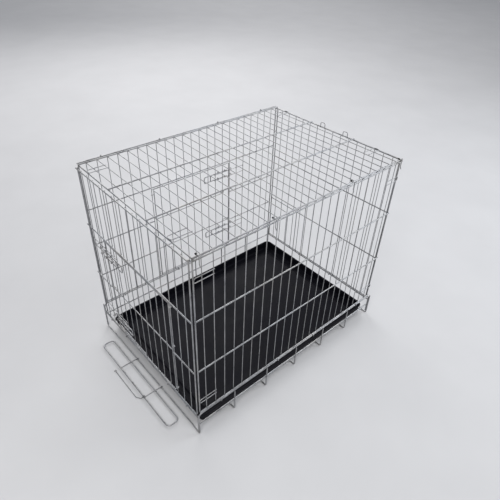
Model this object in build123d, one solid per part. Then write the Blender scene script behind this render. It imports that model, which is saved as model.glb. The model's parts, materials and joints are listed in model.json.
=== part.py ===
from build123d import *
import os
from math import tan

# Folding wire dog crate, 30 inch size.
# X runs along the crate's length, Y across its width, Z up. The front short
# panel, with the smaller door, is at -X. Every panel hinges at its lower edge on
# a rod of the base, and the top panel hinges on the back panel's top rod.

# ---- driving dimensions, mm ------------------------------------------------
LENGTH = 762.0          # between the centre planes of the two short panels
WIDTH = 533.0           # between the centre planes of the two long panels
TOP_Z = 624.0           # height of the top panel's plane
X_SHIFT = 37.475        # puts the origin under the centre of the whole crate
Y_SHIFT = 0.845

R_FRAME = 1.9           # panel frame rods and horizontal wires
R_FILL = 1.1            # panel filling wires
R_BASE = 2.2            # base rails and guide wires
R_CROSS = 1.9           # base cross wires
R_DOOR = 1.5            # door frame rods
WELD = 0.05             # gap between wires that lie on two layers
DOOR_EYE = 2 * R_FILL + 0.35   # door eye's centre line round a filling wire

Z_REAR = 64.0           # hinge heights: the panels fold in this order
Z_FRONT = 74.0
Z_NEAR = 84.0
Z_BACK = 105.5
EYE_R = 3.85            # hinge eye's centre line round a base rod
EYE_W = 1.3             # hinge eye's wire radius
ROD_H = 6.6             # bottom rod's height above its hinge line
END_TOP_Z = 616.0       # short panels' top rod
NEAR_TOP_Z = 616.0      # near panel's top rod

LONG_PITCH = 31.75      # filling wires of the long panels and the top
END_PITCH = 33.3        # filling wires of the short panels
LONG_POST = 371.6       # half span between the posts of the long panels
END_POST = 257.4        # half span between the posts of the short panels
SIDE_JAMB = 5 * LONG_PITCH
FRONT_JAMB = 5 * END_PITCH

TRAY_X0 = -362.0        # tray's front edge
TRAY_L, TRAY_W = 732.0, 504.0
TRAY_Z0, TRAY_Z1, TRAY_T = 10.35, 40.0, 2.2

BOLT_R = 1.8            # door bolt wire
BOLT_OUT = 4.4          # bolt's plane, outward from its panel's plane
GUIDE_R, GUIDE_W = 3.3, 1.1
BOLT_HALF = 11.0        # half the gap between a bolt's two legs

HX, HY = LENGTH / 2, WIDTH / 2
W_FILL = -(R_FRAME + R_FILL + WELD)      # layer of the filling wires
W_POST = -(2 * R_FRAME + WELD)           # layer of the posts
W_SIDE = -(R_FRAME + R_DOOR + WELD)      # layer of the doors' side rods
W_BAR = W_FILL + 2 * R_FILL + WELD       # short bars across the filling wires


# ---- shapes ----------------------------------------------------------------
def rod(p, q, r):
    p, q = Vector(*p), Vector(*q)
    return Solid.make_cylinder(r, (q - p).length, Plane(origin=p, z_dir=(q - p)))


def eye(c, axis, major, minor):
    return Solid.make_torus(major, minor, Plane(origin=Vector(*c), z_dir=Vector(*axis)))


def bent(points, r, bend, closed=False):
    """A bent wire: straight runs joined by arcs of the bend radius."""
    pts = [Vector(*p) for p in points]
    n = len(pts)
    corners = range(n) if closed else range(1, n - 1)
    cut = {}
    for i in corners:
        a = (pts[i - 1] - pts[i]).normalized()
        b = (pts[(i + 1) % n] - pts[i]).normalized()
        half = a.get_angle(b) / 2
        t = bend / tan(half * 3.141592653589793 / 180)
        mid = (a + b).normalized()
        away = (bend ** 2 + t ** 2) ** 0.5 - bend
        cut[i] = (pts[i] + a * t, pts[i] + mid * away, pts[i] + b * t)
    edges = []
    if closed:
        for i in range(n):
            j = (i + 1) % n
            if (cut[j][0] - cut[i][2]).length > 1e-4:
                edges.append(Edge.make_line(cut[i][2], cut[j][0]))
            edges.append(Edge.make_three_point_arc(*cut[j]))
        start, way = cut[0][2], (cut[1][0] - cut[0][2])
    else:
        last = pts[0]
        for i in corners:
            edges.append(Edge.make_line(last, cut[i][0]))
            edges.append(Edge.make_three_point_arc(*cut[i]))
            last = cut[i][2]
        edges.append(Edge.make_line(last, pts[-1]))
        start, way = pts[0], (pts[1] - pts[0])
    path = Wire(edges)
    face = Plane(origin=start, z_dir=way) * Circle(r)
    return sweep(face, path=path).solids()[0]


def weld(*solids):
    out = solids[0]
    for s in solids[1:]:
        out = out + s
    return out.solids()[0]


nodes = {}


def keep(name, *solids):
    nodes.setdefault(name, []).extend(solids)


class Panel:
    """Maps (u along the panel, h above its hinge line, w outward) to the crate."""

    def __init__(self, side):
        self.side = side
        self.z = {"front": Z_FRONT, "rear": Z_REAR, "near": Z_NEAR, "back": Z_BACK}[side]

    def at(self, u, h, w):
        z = self.z + h
        if self.side == "front":
            return (-HX - w, u, z)
        if self.side == "rear":
            return (HX + w, u, z)
        if self.side == "near":
            return (u, -HY - w, z)
        return (u, HY + w, z)

    def way(self, u, h, w):
        a, o = self.at(u, h, w), self.at(0, 0, 0)
        return tuple(x - y for x, y in zip(a, o))

    def rod(self, p, q, r):
        return rod(self.at(*p), self.at(*q), r)

    def eye(self, c, axis, major, minor):
        return eye(self.at(*c), self.way(*axis), major, minor)

    def bent(self, pts, r, bend, closed=False):
        return bent([self.at(*p) for p in pts], r, bend, closed)

    def hinge_rod(self, half, eyes):
        """Bottom rod with the eyes that curl round the base rod."""
        s = self.rod((-half, ROD_H, 0), (half, ROD_H, 0), R_FRAME)
        return weld(s, *[self.eye((u, 0, 0), (1, 0, 0), EYE_R, EYE_W) for u in eyes])


# ---- base ------------------------------------------------------------------
LEG_FOOT = 9.5         # corner legs end on the feet of the outer cross wires
for name, s, z in (("base_rail_near", -1, Z_NEAR), ("base_rail_back", 1, Z_BACK)):
    y = s * HY
    keep(name, bent([(-HX, y, LEG_FOOT), (-HX, y, z), (HX, y, z), (HX, y, LEG_FOOT)], R_BASE, 16.0))
guide = HX - R_BASE - WELD
keep("base_guide_wires",
     rod((-guide, -HY, 42), (guide, -HY, 42), R_BASE),
     rod((-guide, HY, 62), (guide, HY, 62), R_BASE))
end = HY - R_BASE - WELD
keep("base_end_rods",
     rod((-HX, -end, Z_FRONT), (-HX, end, Z_FRONT), R_BASE),
     rod((HX, -end, Z_REAR), (HX, end, Z_REAR), R_BASE))
LEG_Y = HY + R_BASE + R_CROSS + WELD
FLAP_Z = 5.4            # flap's hinge line: the front cross wire
for i in range(7):
    x = -HX + i * LENGTH / 6
    r = R_CROSS if i else 1.75
    run = TRAY_Z0 - 0.1 - R_CROSS if i else FLAP_Z
    keep("base_cross_wires",
         bent([(x, -LEG_Y, Z_NEAR), (x, -LEG_Y, R_CROSS), (x, -LEG_Y + 17, R_CROSS),
               (x, -LEG_Y + 34, run), (x, LEG_Y - 34, run), (x, LEG_Y - 17, R_CROSS),
               (x, LEG_Y, R_CROSS), (x, LEG_Y, Z_BACK)], r, 5.0))

# ---- tray ------------------------------------------------------------------
tx0, tx1 = TRAY_X0, TRAY_X0 + TRAY_L
tray_c = ((tx0 + tx1) / 2, 0)
high = TRAY_Z1 - TRAY_Z0


def slab(l, w, z0, z1, r):
    return extrude(Plane(origin=(tray_c[0], 0, z0)) * RectangleRounded(l, w, r), z1 - z0)


outer = slab(TRAY_L - 8, TRAY_W, TRAY_Z0, TRAY_Z1, 16) + slab(TRAY_L, TRAY_W + 8, TRAY_Z1 - TRAY_T, TRAY_Z1, 20)
tray = outer - slab(TRAY_L - 8 - 2 * TRAY_T, TRAY_W - 2 * TRAY_T, TRAY_Z0 + TRAY_T, TRAY_Z1 + 1, 14)
# raised bead round the tray floor
bead = slab(TRAY_L - 64, TRAY_W - 56, TRAY_Z0 + TRAY_T - 0.5, TRAY_Z0 + TRAY_T + 2.5, 24) - slab(
    TRAY_L - 76, TRAY_W - 68, TRAY_Z0, TRAY_Z1, 18)
keep("tray", (tray + bead).solids()[0])

# ---- tray flap and its latch -----------------------------------------------
FEYE_R, FEYE_W = 3.3, 1.25
FLAP_IN, FLAP_OUT = -402.0, -440.0
FLAP_Y0, FLAP_Y1 = -199.0, 193.0
FLAP_LOOP_Z = FLAP_Z + FEYE_R - 1.4 - 2.0 - WELD
keep("tray_flap_loop",
     bent([(FLAP_OUT, FLAP_Y0, FLAP_LOOP_Z), (FLAP_OUT, FLAP_Y1, FLAP_LOOP_Z),
           (FLAP_IN, FLAP_Y1, FLAP_LOOP_Z), (FLAP_IN, FLAP_Y0, FLAP_LOOP_Z)], 2.0, 13.0, True))
for y in (-72.0, 70.0):
    keep("tray_flap_arms",
         weld(rod((FLAP_OUT - 2.0, y, FLAP_Z + FEYE_R), (-HX, y, FLAP_Z + FEYE_R), 1.4),
              eye((-HX, y, FLAP_Z), (0, 1, 0), FEYE_R, FEYE_W)))
LATCH_Y = -66.0
keep("tray_flap_latch",
     weld(bent([(FLAP_OUT - 3.6, LATCH_Y, FLAP_LOOP_Z), (-447.6, LATCH_Y + 1.0, 1.3), (-457, LATCH_Y + 15, 1.3),
                (-457, 73, 1.3)], 1.2, 1.6),
          eye((-457, 76, 1.3), (0, 0, 1), 2.9, 1.2),
          eye((FLAP_OUT, LATCH_Y, FLAP_LOOP_Z), (0, 1, 0), 3.6, 1.2)))


# ---- doors and their bolts -------------------------------------------------
def door_and_bolts(panel, tag, jamb, pitch, h0, h1, levels, bolts, opening):
    """The door between the jambs, hinged at -u, with two double-leg bolts at +u.

    levels are the door's horizontals as (height, gap): with a gap it is a hairpin
    closed at the free side. bolts are the bolts' heights.
    """
    side = jamb - 7.5
    hinge = panel.rod((-side, h0 - R_DOOR, W_SIDE), (-side, h1 + R_DOOR, W_SIDE), R_DOOR)
    eyes = []
    for h in opening:
        eyes.append(panel.rod((-jamb + DOOR_EYE, h, W_FILL), (-side, h, W_FILL), R_FILL))
        eyes.append(panel.eye((-jamb, h, W_FILL), (0, 1, 0), DOOR_EYE, R_FILL))
    keep(f"{tag}_hinge_rod", weld(hinge, *eyes))
    free = jamb - 4.0
    frame = [panel.rod((free, h0 - R_DOOR, W_SIDE), (free, h1 + R_DOOR, W_SIDE), R_DOOR)]
    w = R_DOOR - R_FRAME
    for h, gap, back in levels:
        if gap:
            end = free if gap < 9 else 4 * pitch + 6.0
            frame.append(panel.bent([(-side - 1.0, h, w), (end, h, w), (end, h + gap, w), (back, h + gap, w)],
                                    R_DOOR, gap / 2 - 0.01))
        else:
            frame.append(panel.rod((-side - 1.0, h, w), (free + R_DOOR, h, w), R_DOOR))
    keep(f"{tag}_frame_rods", *frame)
    for k in range(-4, 5):
        keep(f"{tag}_vertical_wires", panel.rod((k * pitch, h0 - R_DOOR, W_FILL), (k * pitch, h1 + R_DOOR, W_FILL), R_FILL))
    for label, hc in zip(("upper", "lower"), bolts):
        for h in (hc - BOLT_HALF, hc + BOLT_HALF):
            bar = panel.rod((3 * pitch - 2, h, W_BAR), (free + 2, h, W_BAR), R_FILL)
            keep(f"{tag}_bolt_guides",
                 weld(bar, *[panel.eye((jamb - d, h, BOLT_OUT), (1, 0, 0), GUIDE_R, GUIDE_W) for d in (16.0, 46.0)]))
            bar = panel.rod((jamb - 1.2, h, W_BAR), (7 * pitch + 1.5, h, W_BAR), R_FILL)
            keep(f"{tag}_bolt_keepers",
                 weld(bar, panel.eye((jamb + 12.0, h, BOLT_OUT), (1, 0, 0), GUIDE_R, GUIDE_W)))
        tip, tail = jamb - 7.0, jamb - 106.0
        legs = panel.bent([(tip, hc + BOLT_HALF, BOLT_OUT), (tail, hc + BOLT_HALF, BOLT_OUT),
                           (tail, hc - BOLT_HALF, BOLT_OUT), (tip, hc - BOLT_HALF, BOLT_OUT)], BOLT_R, 5.0)
        tie = panel.rod((jamb - 79, hc - BOLT_HALF, BOLT_OUT), (jamb - 79, hc + BOLT_HALF, BOLT_OUT), BOLT_R)
        keep(f"{tag}_bolt_{label}", weld(legs, tie))


def posts(panel, name, half, h1, over=R_FRAME):
    for u in (-half, half):
        keep(name, panel.rod((u, ROD_H - R_FRAME, W_POST), (u, h1 + over, W_POST), R_FRAME))


# ---- front short panel, with its door --------------------------------------
front = Panel("front")
FRONT_H = END_TOP_Z - Z_FRONT
F_THIRD, F_TWO = FRONT_H / 3, FRONT_H * 2 / 3
e = END_POST + R_FRAME
keep("front_panel_hinge_rod", front.hinge_rod(e, (-215, -120, 120, 215)))
posts(front, "front_panel_posts", END_POST, FRONT_H)
keep("front_panel_horizontal_wires",
     front.rod((-e, FRONT_H, 0), (e, FRONT_H, 0), R_FRAME),
     front.rod((-e, F_TWO, 0), (e, F_TWO, 0), R_FRAME),
     front.rod((-e, F_THIRD, 0), (-FRONT_JAMB - 1.0, F_THIRD, 0), R_FRAME),
     front.rod((FRONT_JAMB - 1.5, F_THIRD, 0), (e, F_THIRD, 0), R_FRAME))
for k in range(-7, 8):
    low = F_TWO - R_FRAME if abs(k) < 5 else ROD_H - R_FRAME
    keep("front_panel_vertical_wires",
         front.rod((k * END_PITCH, low, W_FILL), (k * END_PITCH, FRONT_H + R_FRAME, W_FILL), R_FILL))
f0, f1 = ROD_H + 6.5, F_TWO - 6.5
door_and_bolts(front, "front_door", FRONT_JAMB, END_PITCH, f0, f1,
               ((f0, 6.5, 0.0), (F_THIRD + 5, 7.0, 4 * END_PITCH + 5), (f1, 0, 0)),
               (315.0, 62.0), (27.0, 201.0, 342.0))

# ---- rear short panel ------------------------------------------------------
rear = Panel("rear")
REAR_H = END_TOP_Z - Z_REAR
keep("rear_panel_hinge_rod", rear.hinge_rod(e, (-215, -80, 80, 215)))
posts(rear, "rear_panel_posts", END_POST, REAR_H)
for h in (REAR_H / 3, REAR_H * 2 / 3, REAR_H):
    keep("rear_panel_horizontal_wires", rear.rod((-e, h, 0), (e, h, 0), R_FRAME))
for k in range(-7, 8):
    keep("rear_panel_vertical_wires",
         rear.rod((k * END_PITCH, ROD_H - R_FRAME, W_FILL), (k * END_PITCH, REAR_H + R_FRAME, W_FILL), R_FILL))

# ---- near long panel -------------------------------------------------------
near = Panel("near")
NEAR_H = NEAR_TOP_Z - Z_NEAR
p = LONG_POST + R_FRAME
keep("near_panel_hinge_rod", near.hinge_rod(p, (-301.6, -79.4, 79.4, 301.6)))
posts(near, "near_panel_posts", LONG_POST, NEAR_H)
for h in (NEAR_H / 3, NEAR_H * 2 / 3, NEAR_H):
    keep("near_panel_horizontal_wires", near.rod((-p, h, 0), (p, h, 0), R_FRAME))
for k in range(-11, 12):
    keep("near_panel_vertical_wires",
         near.rod((k * LONG_PITCH, ROD_H - R_FRAME, W_FILL), (k * LONG_PITCH, NEAR_H + R_FRAME, W_FILL), R_FILL))
# hairpins that turn round the outer side of the posts and end at the second wire
for s in (-1, 1):
    for h in (45.0, NEAR_H - 62.0):
        u0, u1 = s * (10 * LONG_PITCH - 1.5), s * (LONG_POST + 0.6)
        keep("near_panel_corner_clips",
             near.bent([(u0, h, W_BAR), (u1, h, W_BAR), (u1, h + 13, W_BAR), (u0, h + 13, W_BAR)], R_FILL, 5.0))

# ---- back long panel, with its door ----------------------------------------
back = Panel("back")
BACK_H = TOP_Z - Z_BACK
B1, B2, B3 = 0.235 * BACK_H, 0.47 * BACK_H, 0.71 * BACK_H
keep("back_panel_hinge_rod", back.hinge_rod(p, (-301.6, -79.4, 79.4, 301.6)))
posts(back, "back_panel_posts", LONG_POST, BACK_H, 0)
for h in (B3, BACK_H):
    keep("back_panel_horizontal_wires", back.rod((-p, h, 0), (p, h, 0), R_FRAME))
for h in (B1, B2):
    keep("back_panel_horizontal_wires",
         back.rod((-p, h, 0), (-SIDE_JAMB - 1.0, h, 0), R_FRAME),
         back.rod((SIDE_JAMB - 1.5, h, 0), (p, h, 0), R_FRAME))
for k in range(-11, 12):
    low = B3 - R_FRAME if abs(k) < 5 else ROD_H - R_FRAME
    keep("back_panel_vertical_wires",
         back.rod((k * LONG_PITCH, low, W_FILL), (k * LONG_PITCH, BACK_H, W_FILL), R_FILL))
d0, d1, hinge_end = ROD_H + 6.5, B3 - 6.5, -SIDE_JAMB + 6.5
door_and_bolts(back, "side_door", SIDE_JAMB, LONG_PITCH, d0, d1,
               ((d0, 6.5, 0.0), (B1 + 5, 7.0, 4 * LONG_PITCH + 5), (B2 + 5, 10.0, hinge_end), (d1, 0, 0)),
               (322.0, 92.0), (27.0, 180.0, 345.0))

# ---- top panel -------------------------------------------------------------
# long rods on the upper layer, cross wires and end rods on the lower one, so that
# the panel can swing right over onto the back panel's outer side
TOP_EYE = R_FRAME + 0.35 + EYE_W
y_back = HY - 9.2
z_cross = TOP_Z + W_FILL
z_end = TOP_Z + W_POST
top_rod = rod((-p, y_back, TOP_Z), (p, y_back, TOP_Z), R_FRAME)
keep("top_panel_hinge_rod",
     weld(top_rod, *[s for x in (-301.6, -111.1, 111.1, 301.6) for s in (
         rod((x, HY - TOP_EYE, TOP_Z), (x, y_back, TOP_Z), EYE_W),
         eye((x, HY, TOP_Z), (1, 0, 0), TOP_EYE, EYE_W))]))
for y in (-HY, -HY + WIDTH / 3, -HY + 2 * WIDTH / 3):
    keep("top_panel_long_rods", rod((-p, y, TOP_Z), (p, y, TOP_Z), R_FRAME))
for x in (-LONG_POST, LONG_POST):
    keep("top_panel_end_rods", rod((x, -HY - R_FRAME, z_end), (x, y_back + R_FRAME, z_end), R_FRAME))
for k in range(-11, 12):
    keep("top_panel_cross_wires",
         rod((k * LONG_PITCH, -HY - R_FRAME, z_cross), (k * LONG_PITCH, y_back + R_FRAME, z_cross), R_FILL))
for s in (-1, 1):
    for y in (206.0, -178.0):
        x0, x1, z = s * (10 * LONG_PITCH - 1.5), s * (LONG_POST + 0.6), TOP_Z + W_BAR
        keep("top_panel_end_clips",
             bent([(x0, y - 9, z), (x1, y - 9, z), (x1, y + 9, z), (x0, y + 9, z)], R_FILL, 6.0))
x_loop = LONG_POST - R_FRAME - R_FILL - WELD
for y in (-56.0, 38.0):
    keep("top_panel_end_loops",
         bent([(x_loop, y - 9, z_end - 1.5), (x_loop, y - 9, 637), (x_loop, y + 9, 637), (x_loop, y + 9, z_end - 1.5)],
              R_FILL, 6.0))
z_hook = TOP_Z + R_FRAME + R_FILL + WELD
for x in (-360.4, -142.9, 142.9, 360.4):
    keep("top_panel_hooks",
         bent([(x, -HY + 6, z_hook), (x, -HY - 6.2, z_hook), (x, -HY - 6.2, 606), (x, -HY - 9.5, 599)], R_FILL, 3.0))

# ---- write -----------------------------------------------------------------
os.makedirs("parts", exist_ok=True)
shift = Location((X_SHIFT, Y_SHIFT, 0))
for name, solids in nodes.items():
    solids = [s.moved(shift) for s in solids]
    shape = solids[0] if len(solids) == 1 else Compound(children=solids)
    export_step(shape, f"parts/{name}.step")
boxes = [s.bounding_box() for ss in nodes.values() for s in ss]
lo = [min(b.min.X for b in boxes), min(b.min.Y for b in boxes), min(b.min.Z for b in boxes)]
hi = [max(b.max.X for b in boxes), max(b.max.Y for b in boxes), max(b.max.Z for b in boxes)]
print("nodes", len(nodes), "solids", sum(len(v) for v in nodes.values()))
print("box before shift", [round(v, 2) for v in lo], [round(v, 2) for v in hi])
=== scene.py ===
import json
import math
import random

import bmesh
import bpy
from mathutils import Matrix, Vector


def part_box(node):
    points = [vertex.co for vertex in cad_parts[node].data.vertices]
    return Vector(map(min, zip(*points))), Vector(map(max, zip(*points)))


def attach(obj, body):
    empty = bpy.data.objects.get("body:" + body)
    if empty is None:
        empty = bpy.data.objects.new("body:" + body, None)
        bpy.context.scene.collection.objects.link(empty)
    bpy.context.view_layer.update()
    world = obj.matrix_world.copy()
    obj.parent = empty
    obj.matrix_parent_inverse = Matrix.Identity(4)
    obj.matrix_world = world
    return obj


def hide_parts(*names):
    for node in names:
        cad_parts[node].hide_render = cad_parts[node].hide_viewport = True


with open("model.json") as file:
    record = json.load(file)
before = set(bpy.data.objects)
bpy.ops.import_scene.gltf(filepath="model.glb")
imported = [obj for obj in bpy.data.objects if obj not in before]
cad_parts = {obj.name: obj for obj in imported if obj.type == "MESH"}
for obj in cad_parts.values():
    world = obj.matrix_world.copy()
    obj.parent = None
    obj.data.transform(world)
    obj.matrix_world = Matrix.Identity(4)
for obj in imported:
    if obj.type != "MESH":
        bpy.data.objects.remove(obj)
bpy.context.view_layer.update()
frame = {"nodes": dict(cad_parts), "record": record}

random.seed(11)
# the crate's own centre lies this far from the row frame's origin
SHIFT = Vector((0.037475, 0.000845, 0.0))
bodies = frame["record"]["behaviour"]["bodies"]


# ---- camera ----------------------------------------------------------------
def make_camera():
    az, el, roll = 0.74670, 0.64585, 0.04291
    f = Vector((math.sin(az) * math.cos(el), math.cos(az) * math.cos(el), -math.sin(el)))
    r = f.cross(Vector((0, 0, 1))).normalized()
    u = r.cross(f)
    c, s = math.cos(roll), math.sin(roll)
    right, up = r * c + u * s, u * c - r * s
    cam = bpy.data.cameras.new("camera")
    cam.sensor_width = 36.0
    cam.lens = 459.82 / 500 * 36.0
    cam.clip_end = 50
    ob = bpy.data.objects.new("camera", cam)
    bpy.context.scene.collection.objects.link(ob)
    m = Matrix((right, up, -f)).transposed().to_4x4()
    m.translation = Vector((-0.78414, -0.88178, 1.20209)) + SHIFT
    ob.matrix_world = m
    bpy.context.scene.camera = ob


make_camera()


# ---- node helpers ----------------------------------------------------------
class Mat:
    def __init__(self, name):
        self.m = bpy.data.materials.new(name)
        self.m.use_nodes = True
        self.t = self.m.node_tree
        self.t.nodes.clear()
        self.out = self.n("ShaderNodeOutputMaterial")
        self.bsdf = self.n("ShaderNodeBsdfPrincipled")
        self.link(self.bsdf, "BSDF", self.out, "Surface")
        self.co = self.n("ShaderNodeTexCoord")

    def n(self, kind, **kw):
        node = self.t.nodes.new(kind)
        for k, v in kw.items():
            setattr(node, k, v)
        return node

    def link(self, a, ao, b, bi):
        self.t.links.new(a.outputs[ao], b.inputs[bi])

    def mapping(self, scale):
        mp = self.n("ShaderNodeMapping")
        mp.inputs["Scale"].default_value = scale
        self.link(self.co, "Object", mp, "Vector")
        return mp

    def noise(self, scale, detail=4.0, rough=0.55, src=None, distortion=0.0):
        nz = self.n("ShaderNodeTexNoise")
        nz.inputs["Scale"].default_value = scale
        nz.inputs["Detail"].default_value = detail
        nz.inputs["Roughness"].default_value = rough
        nz.inputs["Distortion"].default_value = distortion
        if src is None:
            self.link(self.co, "Object", nz, "Vector")
        else:
            self.link(src, "Vector", nz, "Vector")
        return nz

    def ramp(self, src, out, stops):
        rp = self.n("ShaderNodeValToRGB")
        el = rp.color_ramp.elements
        while len(el) < len(stops):
            el.new(0.5)
        for e, (p, c) in zip(el, stops):
            e.position = p
            e.color = (*c, 1) if len(c) == 3 else c
        self.link(src, out, rp, "Fac")
        return rp

    def mix(self, fac, a, b, kind="MIX"):
        """fac, a and b are (node, output) or constants; gives the mix node."""
        mx = self.n("ShaderNodeMix", data_type="RGBA", blend_type=kind)
        for key, v in (("Factor", fac), ("A", a), ("B", b)):
            sock = [s for s in mx.inputs if s.name == key and s.enabled][0]
            if isinstance(v, tuple) and hasattr(v[0], "outputs"):
                self.t.links.new(v[0].outputs[v[1]], sock)
            elif key == "Factor":
                sock.default_value = v
            else:
                sock.default_value = (*v, 1)
        return mx

    def mixed(self, mx):
        return [o for o in mx.outputs if o.enabled][0]

    def remap(self, src, out, lo, hi, a=0.0, b=1.0):
        mr = self.n("ShaderNodeMapRange")
        for k, v in (("From Min", a), ("From Max", b), ("To Min", lo), ("To Max", hi)):
            mr.inputs[k].default_value = v
        self.link(src, out, mr, "Value")
        return mr

    def bump(self, src, out, strength, distance, under=None):
        b = self.n("ShaderNodeBump")
        b.inputs["Strength"].default_value = strength
        b.inputs["Distance"].default_value = distance
        self.link(src, out, b, "Height")
        if under is not None:
            self.link(under, "Normal", b, "Normal")
        return b


def zinc(name, stretch, light=1.0):
    """Bright zinc on drawn wire: fine lines along the wire, a mottled bloom and faint stains."""
    m = Mat(name)
    lines = m.noise(900.0, 3.0, 0.6, m.mapping(stretch))
    bloom = m.noise(38.0, 5.0, 0.6)
    stain = m.noise(9.0, 3.0, 0.5, distortion=0.4)
    k = light
    base = m.ramp(bloom, "Fac", [(0.28, (0.235 * k, 0.235 * k, 0.241 * k)), (0.5, (0.36 * k, 0.36 * k, 0.366 * k)),
                                 (0.74, (0.50 * k, 0.50 * k, 0.50 * k))])
    tint = m.ramp(stain, "Fac", [(0.35, (0.95, 0.97, 1.0)), (0.55, (1, 1, 1)), (0.75, (1.0, 0.97, 0.92))])
    col = m.mix(1.0, (base, "Color"), (tint, "Color"), "MULTIPLY")
    dark = m.ramp(lines, "Fac", [(0.30, (0.74, 0.74, 0.75)), (0.55, (1, 1, 1))])
    col2 = m.mix(0.7, (col, [o.name for o in col.outputs if o.enabled][0]), (dark, "Color"), "MULTIPLY")
    m.t.links.new(m.mixed(col), [s for s in col2.inputs if s.name == "A" and s.enabled][0])
    m.t.links.new(m.mixed(col2), m.bsdf.inputs["Base Color"])
    m.bsdf.inputs["Metallic"].default_value = 0.86
    rough = m.remap(bloom, "Fac", 0.24, 0.42, 0.3, 0.7)
    m.link(rough, "Result", m.bsdf, "Roughness")
    b1 = m.bump(lines, "Fac", 0.35, 0.00012)
    b2 = m.bump(bloom, "Fac", 0.25, 0.0002, b1)
    m.link(b2, "Normal", m.bsdf, "Normal")
    return m.m


def weld_metal():
    """Resistance welds: duller, with a darker burnt ring and a pitted skin."""
    m = Mat("zinc_weld")
    pits = m.noise(1400.0, 3.0, 0.6)
    burn = m.noise(160.0, 4.0, 0.6)
    col = m.ramp(burn, "Fac", [(0.3, (0.20, 0.19, 0.185)), (0.52, (0.36, 0.355, 0.35)), (0.75, (0.52, 0.52, 0.53))])
    m.link(col, "Color", m.bsdf, "Base Color")
    m.bsdf.inputs["Metallic"].default_value = 0.75
    m.link(m.remap(burn, "Fac", 0.42, 0.62, 0.3, 0.7), "Result", m.bsdf, "Roughness")
    m.link(m.bump(pits, "Fac", 0.6, 0.0003), "Normal", m.bsdf, "Normal")
    return m.m


def painted_shade_metal():
    """Painted shade at the hooks: a nearly black mottle over dull metal, standing in for the dark gap seen at each
    hook.
    """
    m = Mat("hook_painted_shade")
    scale = m.noise(700.0, 4.0, 0.65)
    # near-black colour: painted shade for the dark gap at each hook, not a real burn
    col = m.ramp(scale, "Fac", [(0.35, (0.006, 0.006, 0.006)), (0.6, (0.016, 0.015, 0.015)), (0.8, (0.06, 0.055, 0.05))])
    m.link(col, "Color", m.bsdf, "Base Color")
    m.bsdf.inputs["Metallic"].default_value = 0.3
    m.link(m.remap(scale, "Fac", 0.55, 0.75, 0.3, 0.7), "Result", m.bsdf, "Roughness")
    m.link(m.bump(scale, "Fac", 0.5, 0.0003), "Normal", m.bsdf, "Normal")
    return m.m


def tray_plastic():
    """Black moulded polypropylene: pebble grain, soft ripples, scuffs and a little dust."""
    m = Mat("tray_plastic")
    grain = m.n("ShaderNodeTexVoronoi", feature="SMOOTH_F1")
    grain.inputs["Scale"].default_value = 620.0
    grain.inputs["Smoothness"].default_value = 0.7
    m.link(m.co, "Object", grain, "Vector")
    ripple = m.noise(7.0, 2.0, 0.4)
    cloud = m.noise(16.0, 5.0, 0.6)
    scratch = m.noise(60.0, 4.0, 0.7, m.mapping((1.0, 16.0, 1.0)), 0.3)
    scratch2 = m.noise(70.0, 4.0, 0.7, m.mapping((14.0, 1.2, 1.0)), 0.3)
    base = m.ramp(cloud, "Fac", [(0.3, (0.0032, 0.0033, 0.0055)), (0.6, (0.0047, 0.0048, 0.0078)), (0.8, (0.0075, 0.0077, 0.0118))])
    scuff = m.ramp(scratch, "Fac", [(0.66, (0, 0, 0)), (0.74, (0.35, 0.35, 0.35))])
    scuff2 = m.ramp(scratch2, "Fac", [(0.67, (0, 0, 0)), (0.76, (0.28, 0.28, 0.28))])
    both = m.mix(1.0, (scuff, "Color"), (scuff2, "Color"), "ADD")
    col = m.mix(0.5, (0.006, 0.006, 0.008), (0.035, 0.036, 0.042))
    m.t.links.new(m.mixed(both), [s for s in col.inputs if s.name == "Factor" and s.enabled][0])
    m.t.links.new(base.outputs["Color"], [s for s in col.inputs if s.name == "A" and s.enabled][0])
    m.t.links.new(m.mixed(col), m.bsdf.inputs["Base Color"])
    m.link(m.remap(cloud, "Fac", 0.36, 0.52, 0.3, 0.7), "Result", m.bsdf, "Roughness")
    m.bsdf.inputs["Specular IOR Level"].default_value = 0.07
    b0 = m.bump(ripple, "Fac", 0.30, 0.004)
    b1 = m.bump(grain, "Distance", 0.35, 0.00035, b0)
    b2 = m.bump(scratch, "Fac", 0.12, 0.0003, b1)
    m.link(b2, "Normal", m.bsdf, "Normal")
    return m.m


ZX = zinc("zinc_along_x", (0.03, 1, 1))
ZY = zinc("zinc_along_y", (1, 0.03, 1))
ZZ = zinc("zinc_along_z", (1, 1, 0.03))
ZB = zinc("zinc_bent", (0.35, 0.35, 0.35))
WELD = weld_metal()
HOOK_SHADE = painted_shade_metal()
TRAY = tray_plastic()


# ---- materials of the carried-over nodes -----------------------------------
def direction(node):
    if "vertical" in node or "posts" in node:
        return ZZ
    if "cross_wires" in node and "top" in node:
        return ZY
    if "end_rods" in node:
        return ZY
    if node.endswith("_hinge_rod") and "door" in node:
        return ZZ
    x_side = node.startswith(("near", "back", "side", "top", "base_rail", "base_guide"))
    if "bolt" in node or "clips" in node or "hooks" in node or "loops" in node or "flap" in node:
        return ZB
    if node.startswith("base_cross"):
        return ZB
    return ZX if x_side else ZY


for name, ob in frame["nodes"].items():
    ob.data.materials.clear()
    ob.data.materials.append(direction(name) if name != "tray" else TRAY)
    for p in ob.data.polygons:
        p.use_smooth = True
    if name != "tray":
        mod = ob.modifiers.new("edges", "EDGE_SPLIT")
        mod.split_angle = math.radians(50)


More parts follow.
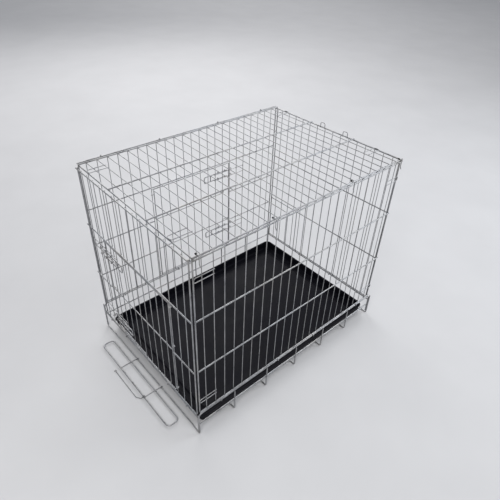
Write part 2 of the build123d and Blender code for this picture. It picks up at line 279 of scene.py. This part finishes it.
# ---- welds at every wire crossing ------------------------------------------
def loose_boxes(ob):
    """Axis-aligned box of each separate wire in a node."""
    me = ob.data
    n = len(me.vertices)
    root = list(range(n))

    def find(i):
        while root[i] != i:
            root[i] = root[root[i]]
            i = root[i]
        return i

    # vertices that share a place are one, so that split shading edges don't part a wire
    seen = {}
    for v in me.vertices:
        key = (round(v.co.x, 5), round(v.co.y, 5), round(v.co.z, 5))
        if key in seen:
            a, b = find(v.index), find(seen[key])
            root[a] = b
        else:
            seen[key] = v.index
    for e in me.edges:
        a, b = find(e.vertices[0]), find(e.vertices[1])
        if a != b:
            root[a] = b
    boxes = {}
    for v in me.vertices:
        k = find(v.index)
        lo, hi = boxes.setdefault(k, ([1e9] * 3, [-1e9] * 3))
        for i in range(3):
            lo[i] = min(lo[i], v.co[i])
            hi[i] = max(hi[i], v.co[i])
    return list(boxes.values())


def straight(box):
    """The axis a straight wire runs along, or None."""
    size = [box[1][i] - box[0][i] for i in range(3)]
    long = [i for i in range(3) if size[i] > 0.0125]
    return long[0] if len(long) == 1 else None


def add_bead(bm, centre, half, seed):
    rnd = random.Random(seed)
    made = bmesh.ops.create_uvsphere(bm, u_segments=10, v_segments=6, radius=1.0)
    turn = Matrix.Rotation(rnd.uniform(0, math.pi), 3, "Z")
    for v in made["verts"]:
        p = turn @ v.co
        wob = 1 + 0.10 * math.sin(3 * p.x + seed) + 0.08 * math.cos(4 * p.y + 2 * seed)
        v.co = Vector((centre[0] + p.x * half[0] * wob, centre[1] + p.y * half[1] * wob, centre[2] + p.z * half[2] * wob))


def welds(body):
    wires = []
    for node in bodies[body]:
        if node == "tray":
            continue
        for b in loose_boxes(frame["nodes"][node]):
            a = straight(b)
            if a is not None:
                wires.append((a, b))
    bm = bmesh.new()
    count = 0
    for i, (a, p) in enumerate(wires):
        for c, q in wires[i + 1:]:
            if a == c:
                continue
            lo = [max(p[0][k], q[0][k]) for k in range(3)]
            hi = [min(p[1][k], q[1][k]) for k in range(3)]
            if any(hi[k] - lo[k] < -0.0004 for k in range(3)):
                continue
            third = 3 - a - c
            centre = [(lo[k] + hi[k]) / 2 for k in range(3)]
            half = [0.0, 0.0, 0.0]
            thin = min(q[1][third] - q[0][third], p[1][third] - p[0][third])
            for k in (a, c):
                half[k] = 0.36 * (hi[k] - lo[k]) + 0.0006
            half[third] = 0.42 * thin
            count += 1
            add_bead(bm, centre, half, count)
    if not count:
        bm.free()
        return
    me = bpy.data.meshes.new(body + "_welds")
    bm.to_mesh(me)
    bm.free()
    for f in me.polygons:
        f.use_smooth = True
    me.materials.append(WELD)
    ob = bpy.data.objects.new(body + "_welds", me)
    bpy.context.scene.collection.objects.link(ob)
    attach(ob, body)


for body in ("base", "front_panel", "front_door", "rear_panel", "near_panel", "back_panel", "side_door", "top_panel"):
    welds(body)


# ---- near-black beads where the hooks sit on the near long rod: painted shade ---
def hook_shade_beads():
    bm = bmesh.new()
    for i, (lo, hi) in enumerate(loose_boxes(frame["nodes"]["top_panel_hooks"])):
        # one near-black bead per hook: painted shade for the dark gap there
        add_bead(bm, ((lo[0] + hi[0]) / 2, hi[1] - 0.0015, hi[2] - 0.0016), (0.0030, 0.0034, 0.0022), 300 + i)
    me = bpy.data.meshes.new("hook_shade_beads")
    bm.to_mesh(me)
    bm.free()
    for f in me.polygons:
        f.use_smooth = True
    me.materials.append(HOOK_SHADE)
    ob = bpy.data.objects.new("hook_shade_beads", me)
    bpy.context.scene.collection.objects.link(ob)
    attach(ob, "top_panel")


hook_shade_beads()

# ---- moulded tray ----------------------------------------------------------
def tray_mesh():
    lo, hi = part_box("tray")
    cx, cy = (lo[0] + hi[0]) / 2, (lo[1] + hi[1]) / 2
    hx, hy = (hi[0] - lo[0]) / 2, (hi[1] - lo[1]) / 2
    z0, z1 = lo[2], hi[2]
    mm = 0.001
    floor = z0 + 2.2 * mm
    # inset from the lip's outer edge, height, corner radius
    prof = [
        (12.0, z0, 10), (7.0, z0, 13), (5.2, z0 + 0.5 * mm, 15), (4.25, z0 + 2.0 * mm, 16),
        (4.0, z0 + 6 * mm, 16), (4.0, z1 - 4.5 * mm, 16), (3.7, z1 - 3.0 * mm, 16.3), (2.6, z1 - 2.3 * mm, 17.4),
        (0.7, z1 - 2.2 * mm, 19.3), (0.1, z1 - 1.7 * mm, 19.9), (0.0, z1 - 1.1 * mm, 20), (0.15, z1 - 0.5 * mm, 19.8),
        (0.8, z1 - 0.05 * mm, 19.2), (1.8, z1, 18.2), (4.6, z1, 15.4), (5.6, z1 - 0.3 * mm, 14.4), (6.2, z1 - 1.2 * mm, 13.8),
        (6.4, z1 - 4 * mm, 13.6), (7.3, floor + 6 * mm, 13), (7.7, floor + 3.2 * mm, 12.6), (8.8, floor + 1.3 * mm, 12),
        (10.6, floor + 0.25 * mm, 11), (13.0, floor, 10), (29.2, floor, 26), (30.6, floor + 0.3 * mm, 25),
        (31.6, floor + 1.5 * mm, 24), (32.6, floor + 2.35 * mm, 23), (34.2, floor + 2.5 * mm, 22), (35.8, floor + 2.35 * mm, 21),
        (36.8, floor + 1.5 * mm, 20.5), (37.8, floor + 0.3 * mm, 20), (39.4, floor, 19), (60.0, floor, 14), (90.0, floor, 10),
        (130.0, floor, 8), (170.0, floor, 6), (205.0, floor, 4), (230.0, floor, 2),
    ]
    arc, side_x, side_y = 8, 30, 22
    bm = bmesh.new()
    loops = []
    for inset, z, rad in prof:
        w, d, r = hx - inset * mm, hy - inset * mm, rad * mm
        pts = []
        for k, (sx, sy) in enumerate(((1, 1), (-1, 1), (-1, -1), (1, -1))):
            ccx, ccy = cx + sx * (w - r), cy + sy * (d - r)
            for j in range(arc + 1):
                a = math.radians(90 * k + 90 * j / arc)
                pts.append((ccx + r * math.cos(a), ccy + r * math.sin(a)))
            nx, ny = ((-1, 1), (-1, -1), (1, -1), (1, 1))[k]
            a = math.radians(90 * (k + 1))
            ex, ey = cx + nx * (w - r) + r * math.cos(a), cy + ny * (d - r) + r * math.sin(a)
            sx0, sy0 = pts[-1]
            n = side_x if k % 2 == 0 else side_y
            for j in range(1, n):
                t = j / n
                pts.append((sx0 + (ex - sx0) * t, sy0 + (ey - sy0) * t))
        row = []
        for x, y in pts:
            zz = z
            if inset > 11 and z > z0 + 1 * mm:
                # the moulded floor is never quite flat
                g = min(1.0, (inset - 11) / 40)
                zz += g * 0.00045 * (math.sin(11 * x + 4 * y) * math.cos(13 * y - 3 * x) + 0.5 * math.sin(23 * x - 17 * y)) + g * 0.0001
            row.append(bm.verts.new((x, y, zz)))
        loops.append(row)
    n = len(loops[0])
    for a, b in zip(loops, loops[1:]):
        for i in range(n):
            j = (i + 1) % n
            bm.faces.new((a[i], a[j], b[j], b[i]))
    bm.faces.new(loops[-1])
    bm.faces.new(list(reversed(loops[0])))
    bmesh.ops.recalc_face_normals(bm, faces=bm.faces)
    me = bpy.data.meshes.new("tray_moulding")
    bm.to_mesh(me)
    bm.free()
    for f in me.polygons:
        f.use_smooth = len(f.vertices) == 4
    me.materials.append(TRAY)
    ob = bpy.data.objects.new("tray_moulding", me)
    bpy.context.scene.collection.objects.link(ob)
    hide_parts("tray")
    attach(ob, "tray")


tray_mesh()


# ---- floor and light -------------------------------------------------------
def floor_and_light():
    me = bpy.data.meshes.new("studio_floor")
    s = 12.0
    me.from_pydata([(-s, -s, 0), (s, -s, 0), (s, s, 0), (-s, s, 0)], [], [(0, 1, 2, 3)])
    m = Mat("floor_paper")
    nz = m.noise(3.0, 3.0)
    col = m.ramp(nz, "Fac", [(0.3, (0.59, 0.59, 0.60)), (0.7, (0.62, 0.62, 0.63))])
    m.link(col, "Color", m.bsdf, "Base Color")
    m.bsdf.inputs["Roughness"].default_value = 0.75
    me.materials.append(m.m)
    ob = bpy.data.objects.new("studio_floor", me)
    bpy.context.scene.collection.objects.link(ob)
    world = bpy.data.worlds.new("studio")
    world.use_nodes = True
    bg = world.node_tree.nodes["Background"]
    bg.inputs["Color"].default_value = (0.92, 0.945, 1.0, 1)
    bg.inputs["Strength"].default_value = 0.42
    bpy.context.scene.world = world
    for name, kind, loc, energy, size, col in (
        ("key", "AREA", (-1.5, -1.3, 2.4), 36, 1.2, (1.0, 0.985, 0.96)),
        ("fill", "AREA", (2.3, -1.5, 2.1), 40, 1.7, (0.93, 0.965, 1.0)),
        ("back", "AREA", (1.3, 2.8, 2.9), 74, 2.6, (1.0, 0.99, 0.985)),
        ("far", "AREA", (4.2, 4.5, 3.4), 62, 4.0, (1.0, 0.99, 0.985)),
    ):
        li = bpy.data.lights.new(name, kind)
        li.energy, li.size, li.color = energy, size, col
        lo = bpy.data.objects.new(name, li)
        lo.location = loc
        # the far one lights the floor behind the crate and hangs level over it
        if name != "far":
            lo.rotation_euler = (Vector((0, 0, 0.25)) - Vector(loc)).to_track_quat("-Z", "Y").to_euler()
        bpy.context.scene.collection.objects.link(lo)
    bpy.context.scene.view_settings.view_transform = "Standard"


floor_and_light()
